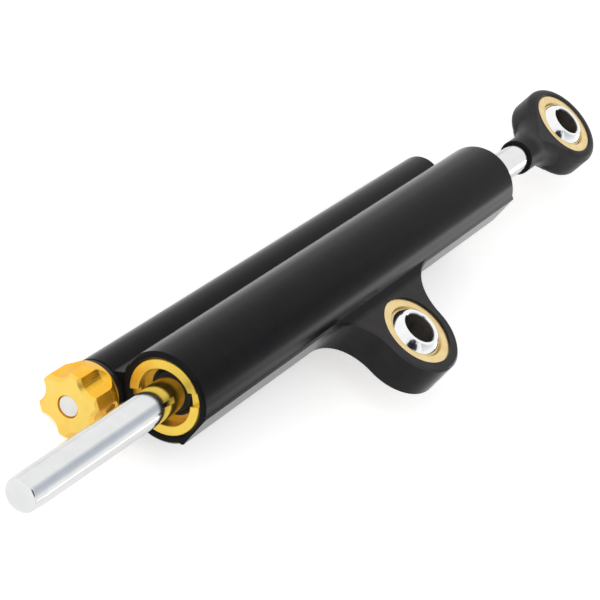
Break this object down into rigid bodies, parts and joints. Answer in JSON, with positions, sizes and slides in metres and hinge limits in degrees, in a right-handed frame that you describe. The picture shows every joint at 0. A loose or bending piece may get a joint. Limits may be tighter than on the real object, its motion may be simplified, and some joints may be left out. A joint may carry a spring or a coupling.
{
  "type": "steering damper",
  "caption": "Hydraulic steering damper: black twin-tube body with a lug bearing, a through rod ending in an eye bearing, gold gland nuts and a lobed clicker knob.",
  "frame": {"origin": "centre of the ball in the body's lug", "axes": "+X along the rod towards the eye, +Z along the lug bolt, the lug pointing to -Y from the rod"},
  "size_m": [0.2607, 0.0539, 0.0304],
  "materials": {
    "black_anodised": "satin black anodised",
    "gold_anodised": "bright gold anodised",
    "bronze": "turned bronze",
    "chrome": "polished hard chrome",
    "steel": "turned steel",
    "rubber": "matt black rubber",
    "slide_polymer": "filled sliding polymer"
  },
  "bodies": {
    "housing": {"housing": "black_anodised", "lug_race": "bronze", "near_gland_nut": "gold_anodised", "far_gland_nut": "gold_anodised", "near_seal_head": "gold_anodised", "far_seal_head": "gold_anodised", "near_wiper": "rubber", "far_wiper": "rubber", "near_rod_seal": "rubber", "far_rod_seal": "rubber", "near_guide_bush": "bronze", "far_guide_bush": "bronze", "near_head_o_ring": "rubber", "far_head_o_ring": "rubber", "adjuster_cartridge": "gold_anodised", "cartridge_o_ring": "rubber", "click_ball": "chrome", "click_spring": "steel", "needle_guide": "bronze", "valve_seat": "bronze", "compensator_spring": "steel", "end_plug": "black_anodised", "end_plug_o_ring": "rubber"},
    "lug_ball": {"lug_ball": "chrome"},
    "piston": {"piston": "steel", "piston_band": "slide_polymer", "piston_o_ring": "rubber"},
    "rod": {"piston_rod": "chrome", "piston_circlips": "steel", "rod_eye": "black_anodised", "eye_race": "bronze"},
    "eye_ball": {"eye_ball": "chrome"},
    "adjuster": {"adjuster_knob": "gold_anodised", "knob_dust_ring": "rubber", "knob_grub_screw": "steel", "adjuster_spindle": "chrome", "spindle_o_ring": "rubber"},
    "needle": {"metering_needle": "steel"},
    "compensator": {"compensator_piston": "steel", "compensator_o_ring": "rubber"}
  },
  "joints": [
    {"name": "rod_slide", "type": "slide", "parent": "housing", "child": "piston", "axis": [1, 0, 0], "range_m": [-0.022, 0.045]},
    {"name": "rod_spin", "type": "hinge", "parent": "piston", "child": "rod", "pos_m": [0.1227, 0.0218, 0], "axis": [1, 0, 0], "continuous": true},
    {"name": "lug_swivel", "type": "hinge", "parent": "housing", "child": "lug_ball", "pos_m": [0, 0, 0], "axis": [0, 0, 1], "continuous": true},
    {"name": "eye_swivel", "type": "hinge", "parent": "rod", "child": "eye_ball", "pos_m": [0.1227, 0.0218, 0], "axis": [0, -0.0958, 0.9954], "continuous": true},
    {"name": "adjuster_turn", "type": "hinge", "parent": "housing", "child": "adjuster", "pos_m": [-0.077, 0.03403, -0.01223], "axis": [1, 0, 0], "range_deg": [-360, 360]},
    {"name": "needle_feed", "type": "slide", "parent": "housing", "child": "needle", "axis": [1, 0, 0], "range_m": [-0.0005, 0.0005]},
    {"name": "compensator_slide", "type": "slide", "parent": "housing", "child": "compensator", "axis": [1, 0, 0], "range_m": [-0.0015, 0.0015], "stiffness_N_per_m": 2000, "deforming": ["compensator_spring"]}
  ],
  "couplings": [
    {"joint": "needle_feed", "follows": "adjuster_turn", "m_per_rad": 0.000079577}
  ]
}
